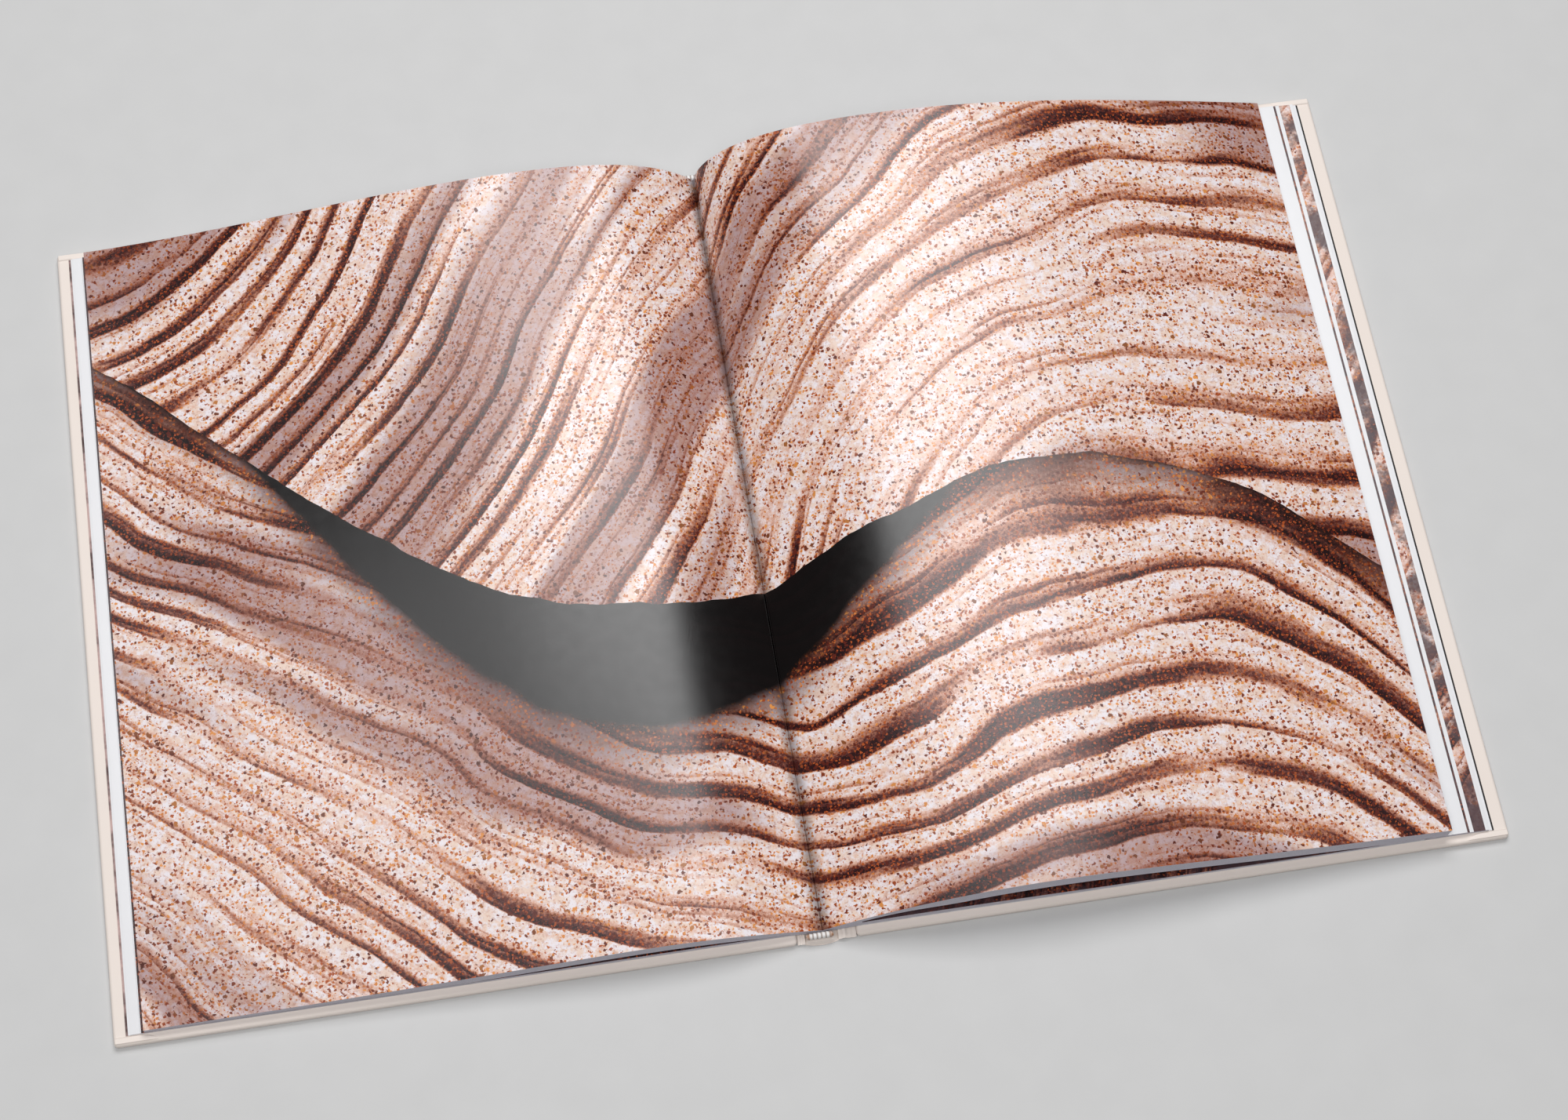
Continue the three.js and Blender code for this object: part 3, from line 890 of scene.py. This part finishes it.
def board(side):
    low, high = (1000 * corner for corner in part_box(f"{side}_cover"))
    made = bmesh.new()
    bmesh.ops.create_cube(made, size=1)
    bmesh.ops.scale(made, vec=high - low, verts=made.verts)
    bmesh.ops.translate(made, vec=(low + high) / 2, verts=made.verts)
    upright = [e for e in made.edges if abs(e.verts[0].co.z - e.verts[1].co.z) > 1]
    bevelled(made, upright, CORNER_ROUND, 5)
    level_edges = [e for e in made.edges if abs(e.verts[0].co.z - e.verts[1].co.z) < 0.01 and not e.is_wire]
    rims = [e for e in level_edges if abs(abs(e.calc_face_angle(0)) - math.pi / 2) < 0.1]
    bevelled(made, rims, EDGE_ROUND, 5)
    bmesh.ops.scale(made, vec=(MM, MM, MM), verts=made.verts)
    mesh = bpy.data.meshes.new(f"{side}_board")
    made.to_mesh(mesh)
    made.free()
    mesh.materials.append(covering)
    mesh.polygons.foreach_set("use_smooth", np.ones(len(mesh.polygons), bool))
    mesh.set_sharp_from_angle(angle=math.radians(50))
    piece = bpy.data.objects.new(f"{side}_board", mesh)
    bpy.context.scene.collection.objects.link(piece)
    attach(piece, side)
    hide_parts(f"{side}_cover")
    print(piece.name, len(mesh.polygons), "faces")


for side in SIDES:
    board(side)

# %% [markdown]
# At each outer corner the covering's tucked end lies under its turned-in edge, and shows as a narrow raised
# flap that runs along the board's end and fades out. It could be bump, but its outline shows from the side,
# so it is a thin block of its own with a soft inner edge.

# %% Add the corner tucks
TUCK_LENGTH = 14.0
TUCK_WIDTH = 2.1
TUCK_RISE = 0.42
TIP_INSET = 0.7
SIDE_INSET = 0.75
TAPERED_SHARE = 0.35
FADED_SHARE = 0.2


def corner_tuck(side, end, place_name):
    sign = SIDES[side]["sign"]
    low, high = (1000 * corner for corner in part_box(f"{side}_cover"))
    tip = max(abs(low.x), abs(high.x)) - TIP_INSET
    along = np.linspace(0, 1, 25)
    width = TUCK_WIDTH * np.clip((1 - along) / TAPERED_SHARE, 0.02, 1) ** 0.5
    share = np.linspace(0, 1, 7)[:, None]
    y = end * (high.y - SIDE_INSET - share * width)
    x = np.ones_like(share) * sign * (tip - along * TUCK_LENGTH)
    rise = TUCK_RISE * np.sqrt(1 - share**8) * np.clip((1 - along) / FADED_SHARE, 0, 1) ** 0.5
    top = np.stack([x, y, high.z + rise], axis=2)
    under = np.stack([x, y, np.full_like(x, high.z - 0.2)], axis=2)
    piece = block(f"{side}_tuck_{place_name}", top, under, x, [covering], angle=60)
    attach(piece, side)


for side in SIDES:
    corner_tuck(side, -1, "foot")
    corner_tuck(side, 1, "head")

# %% [markdown]
# ## The spine
# The strip of spine lies flat between the boards. The covering is folded in over both its ends, which makes
# them a little thicker and rounder, and the photograph shows the near one as a soft bulge. A bevelled box
# would have ends as thick as its middle, so the strip is a block whose top is a formula.

# %% Build the spine strip
STRIP_LOW, STRIP_HIGH = (1000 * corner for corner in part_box("spine_strip"))
FINE_LENGTH = 12.0
PLAIN_REACH = 120.0
FOLD_GAIN = 0.18
END_ROUND = 2.2
END_BOW = 0.0055
TOP_SHARE = 0.85
LIFT = 0.02


def folded_part(y, starts, fades):
    """0 on the plain length, 1 where the covering is folded in over an end."""
    return np.clip((np.abs(y) - starts) / fades, 0, 1)[:, None]


def spine_strip(steps=25):
    ends = STRIP_HIGH.y + np.linspace(-FINE_LENGTH, 0, 12)
    y = np.concatenate([-ends[::-1], np.linspace(-PLAIN_REACH, PLAIN_REACH, 9), ends])
    x = np.linspace(STRIP_LOW.x, STRIP_HIGH.x, steps)
    centre, half = (STRIP_LOW.x + STRIP_HIGH.x) / 2, (STRIP_HIGH.x - STRIP_LOW.x) / 2
    side = (x - centre) / half
    crown = (1 - np.abs(side) ** 5)[None, :]
    near_end = np.clip((STRIP_HIGH.y - np.abs(y)) / END_ROUND, 0, 1)[:, None]
    rounding = np.sqrt(1 - (1 - near_end) ** 2)
    bow = 1 - END_BOW * (1 - near_end) * side[None, :] ** 2
    thick = STRIP_HIGH.z * crown * rounding
    folded = 1 + FOLD_GAIN * folded_part(y, starts=135, fades=3)
    height = thick * folded * TOP_SHARE + LIFT
    top = np.stack([np.broadcast_to(x, bow.shape), y[:, None] * bow, height], axis=2)
    under = top.copy()
    under[:, :, 2] = (1 - TOP_SHARE) * (1 - crown * rounding) * STRIP_HIGH.z
    piece = block("spine_covering", top, under, np.broadcast_to(x, bow.shape), [covering], rows=2)
    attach(piece, "spine")
    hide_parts("spine_strip")


spine_strip()

# %% [markdown]
# In the groove between strip and board the covering is alone, so it can bend, and the cover turns there. A
# strip that rode on either side would tear from the other. Here it is built in place and attached to no body.

# %% Build the grooves
HINGE_X = 10.0
CLOTH_THICK = 0.5
FOLDED_THICK = 1.5
FOLD_Y = 134.0
PLAIN_Y = 128.0
OVERLAP = 0.1
GROOVE_FLOOR = 0.3
CREASE_DEPTH = 0.12
CLOTH_ROUND = 0.8


def groove(side, x_spine, x_board, rise):
    """The covering in one groove. Its ends are folded in, so they are as thick as the strip's own ends."""
    share = np.linspace(0, 1, 15)
    reach_y = 1000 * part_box("front_cover")[1].y
    folded_end = np.linspace(FOLD_Y, reach_y, 12)
    y = np.concatenate([-folded_end[::-1], np.linspace(-PLAIN_Y, PLAIN_Y, 25), folded_end])
    x = x_spine + (x_board - x_spine) * share
    z = GROOVE_FLOOR + rise * np.sin(math.pi * np.minimum(1, share * 1.5)) ** 2
    folded = folded_part(y, starts=131, fades=5)
    creased = 1 + CREASE_DEPTH * np.cos(6 * math.pi * share)
    thick = CLOTH_THICK + (FOLDED_THICK * creased - CLOTH_THICK) * folded
    rounded = np.sqrt(1 - (1 - np.clip((reach_y - np.abs(y)) / CLOTH_ROUND, 0, 1)) ** 2)[:, None]
    grid_x, grid_y = np.meshgrid(x, y)
    top = np.stack([grid_x, grid_y, z + thick * (0.5 + 0.5 * rounded)], axis=2)
    under = np.stack([grid_x, grid_y, z + 0.5 * thick * (1 - rounded)], axis=2)
    piece = block(f"{side}_groove", top, under, grid_x, [covering], rows=3, angle=60)
    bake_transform(piece)
    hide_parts(f"{side}_joint_cloth")


groove("front", x_spine=STRIP_LOW.x + OVERLAP, x_board=-HINGE_X + OVERLAP, rise=0.0)
groove("back", x_spine=STRIP_HIGH.x - OVERLAP, x_board=HINGE_X - OVERLAP, rise=0.9)

# %% [markdown]
# ## The headbands
# A headband is a roll of white thread glued over the ends of the page backs. Each turn could be a curve of
# its own, but they lie so close that ridges on one roll show the same and make a closed mesh. The shade
# between the turns is painted into the thread's colour, in step with the ridges, and a little brown glue
# shows at both ends.

# %% Build the headbands
THREAD_PITCH = 1.45
THREAD_SHADE = (0.42, 0.36, 0.33)
THREAD_WHITE = (0.86, 0.84, 0.83)
GLUE_BROWN = (0.40, 0.19, 0.09)
BAND_MIDDLE = -0.0024
GLUE_FROM = 0.0027
GLUE_FULL = 0.0042
RIDGE_DEPTH = 0.07
END_SQUARENESS = 14

threads, tree, shader = new_material("headband_thread", 0.6, specular=0.4)
thread_at = split_xyz(tree, object_place(tree))["X"]
turns = calc(tree, "SINE", calc(tree, "MULTIPLY", thread_at, 2 * math.pi / (THREAD_PITCH * MM)))
# Painted shade: the thread is darker between its turns, at the ridges' own pitch.
thread_with_painted_shade = mixed(tree, remap(tree, turns, -0.7, 0.1), THREAD_SHADE, THREAD_WHITE)
outward = calc(tree, "ABSOLUTE", calc(tree, "SUBTRACT", thread_at, BAND_MIDDLE))
uneven_glue = calc(tree, "MULTIPLY", noise(tree, object_place(tree), 900.0), 1.5)
glued = calc(tree, "MULTIPLY", remap(tree, outward, GLUE_FROM, GLUE_FULL), uneven_glue)
banded = mixed(tree, glued, thread_with_painted_shade, GLUE_BROWN)
tree.links.new(banded, shader["Base Color"])
silk = noise(tree, object_place(tree), 5200.0, 2.0)
add_bump(tree, shader, silk, 0.4, 0.0001)


def headband(node):
    low, high = (1000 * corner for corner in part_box(node))
    centre_y, centre_z, radius = (low.y + high.y) / 2, (low.z + high.z) / 2, (high.z - low.z) / 2
    x = np.linspace(low.x, high.x, 97)
    off_centre = np.abs(2 * (x - low.x) / (high.x - low.x) - 1)
    ends = np.sqrt(np.clip(1 - off_centre**END_SQUARENESS, 0.02, 1))
    swell = radius * ends * (1 - RIDGE_DEPTH * (1 - np.cos(2 * math.pi * x / THREAD_PITCH)))
    turn = np.linspace(0, 2 * math.pi, 25)[:-1]
    ring = np.stack([np.zeros_like(turn), np.cos(turn), np.sin(turn)], axis=1)
    points = np.array([[a, centre_y, centre_z] for a in x])[:, None] + swell[:, None, None] * ring[None]
    count = len(turn)
    faces = [
        (i * count + j, i * count + (j + 1) % count, (i + 1) * count + (j + 1) % count, (i + 1) * count + j)
        for i in range(len(x) - 1)
        for j in range(count)
    ]
    faces += [tuple(range(count))[::-1], tuple(range((len(x) - 1) * count, len(x) * count))]
    mesh = bpy.data.meshes.new(f"{node}_threads")
    mesh.from_pydata((points.reshape(-1, 3) * MM).tolist(), [], faces)
    mesh.materials.append(threads)
    mesh.polygons.foreach_set("use_smooth", np.ones(len(mesh.polygons), bool))
    piece = bpy.data.objects.new(f"{node}_threads", mesh)
    bpy.context.scene.collection.objects.link(piece)
    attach(piece, "spine")
    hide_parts(node)
    print(piece.name, len(mesh.polygons), "faces")


headband("head_band")
headband("tail_band")

# %% [markdown]
# ## The endpapers and the gauze
# These keep their solids, whose shapes are right, and get their finish. Each endpaper is white where it lies
# over the board as a free leaf, and printed where the pasted-down half shows a sliver past it: dark and
# mottled on the left, black on the right. The gauze on the page backs is hardly seen. Two crossed waves are
# enough for its weave.

# %% Finish the endpapers and the gauze
FRONT_PRINT_FROM = 0.2300
BACK_PRINT_FROM = 0.2293
DARK_PATCH = (0.05, 0.02, 0.02)
PALE_PATCH = (0.55, 0.38, 0.36)
SOFT_BLACK = (0.012, 0.006, 0.006)
WEAVE_SHADE = (0.55, 0.50, 0.42)
WEAVE_PALE = (0.74, 0.70, 0.62)
WEAVE_RADIANS_PER_M = 5200.0


def endpaper_material(name, printed_past, dark, mottle):
    material, tree, shader = new_material(name, 0.55, specular=0.4)
    spot = object_place(tree)
    run = calc(tree, "ABSOLUTE", split_xyz(tree, spot)["X"])
    patches = remap(tree, noise(tree, spot, 60.0, 4.0, 0.7), 0.35, 0.62)
    ink = mixed(tree, patches, dark, mottle)
    pasted = calc(tree, "GREATER_THAN", run, printed_past)
    tree.links.new(mixed(tree, pasted, WHITE_PAPER, ink), shader["Base Color"])
    tooth = use_group(tree, grain, Vector=spot, Per_metre=2200.0)
    add_bump(tree, shader, tooth["Height"], 0.2, 0.00005)
    return material


gauze, tree, shader = new_material("gauze", 0.9, specular=0.2)
weave_at = split_xyz(tree, object_place(tree))
turned = [calc(tree, "MULTIPLY", weave_at[axis], WEAVE_RADIANS_PER_M) for axis in ("X", "Y")]
mesh_height = calc(tree, "MAXIMUM", *(calc(tree, "SINE", angle) for angle in turned))
# Painted shade: the hollows between the crossed threads take the darker WEAVE_SHADE.
threads_on_top = remap(tree, mesh_height, 0.2, 0.9)
woven = mixed(tree, threads_on_top, WEAVE_SHADE, WEAVE_PALE)
tree.links.new(woven, shader["Base Color"])
add_bump(tree, shader, mesh_height, 0.5, 0.0002)

finishes = {
    "front_endpaper": endpaper_material("front_endpaper_print", FRONT_PRINT_FROM, DARK_PATCH, PALE_PATCH),
    "back_endpaper": endpaper_material("back_endpaper_print", BACK_PRINT_FROM, BLACK, SOFT_BLACK),
    "spine_lining": gauze,
}
for node, material in finishes.items():
    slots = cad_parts[node].data.materials
    slots.clear()
    slots.append(material)
print("finished nodes:", sorted(finishes))
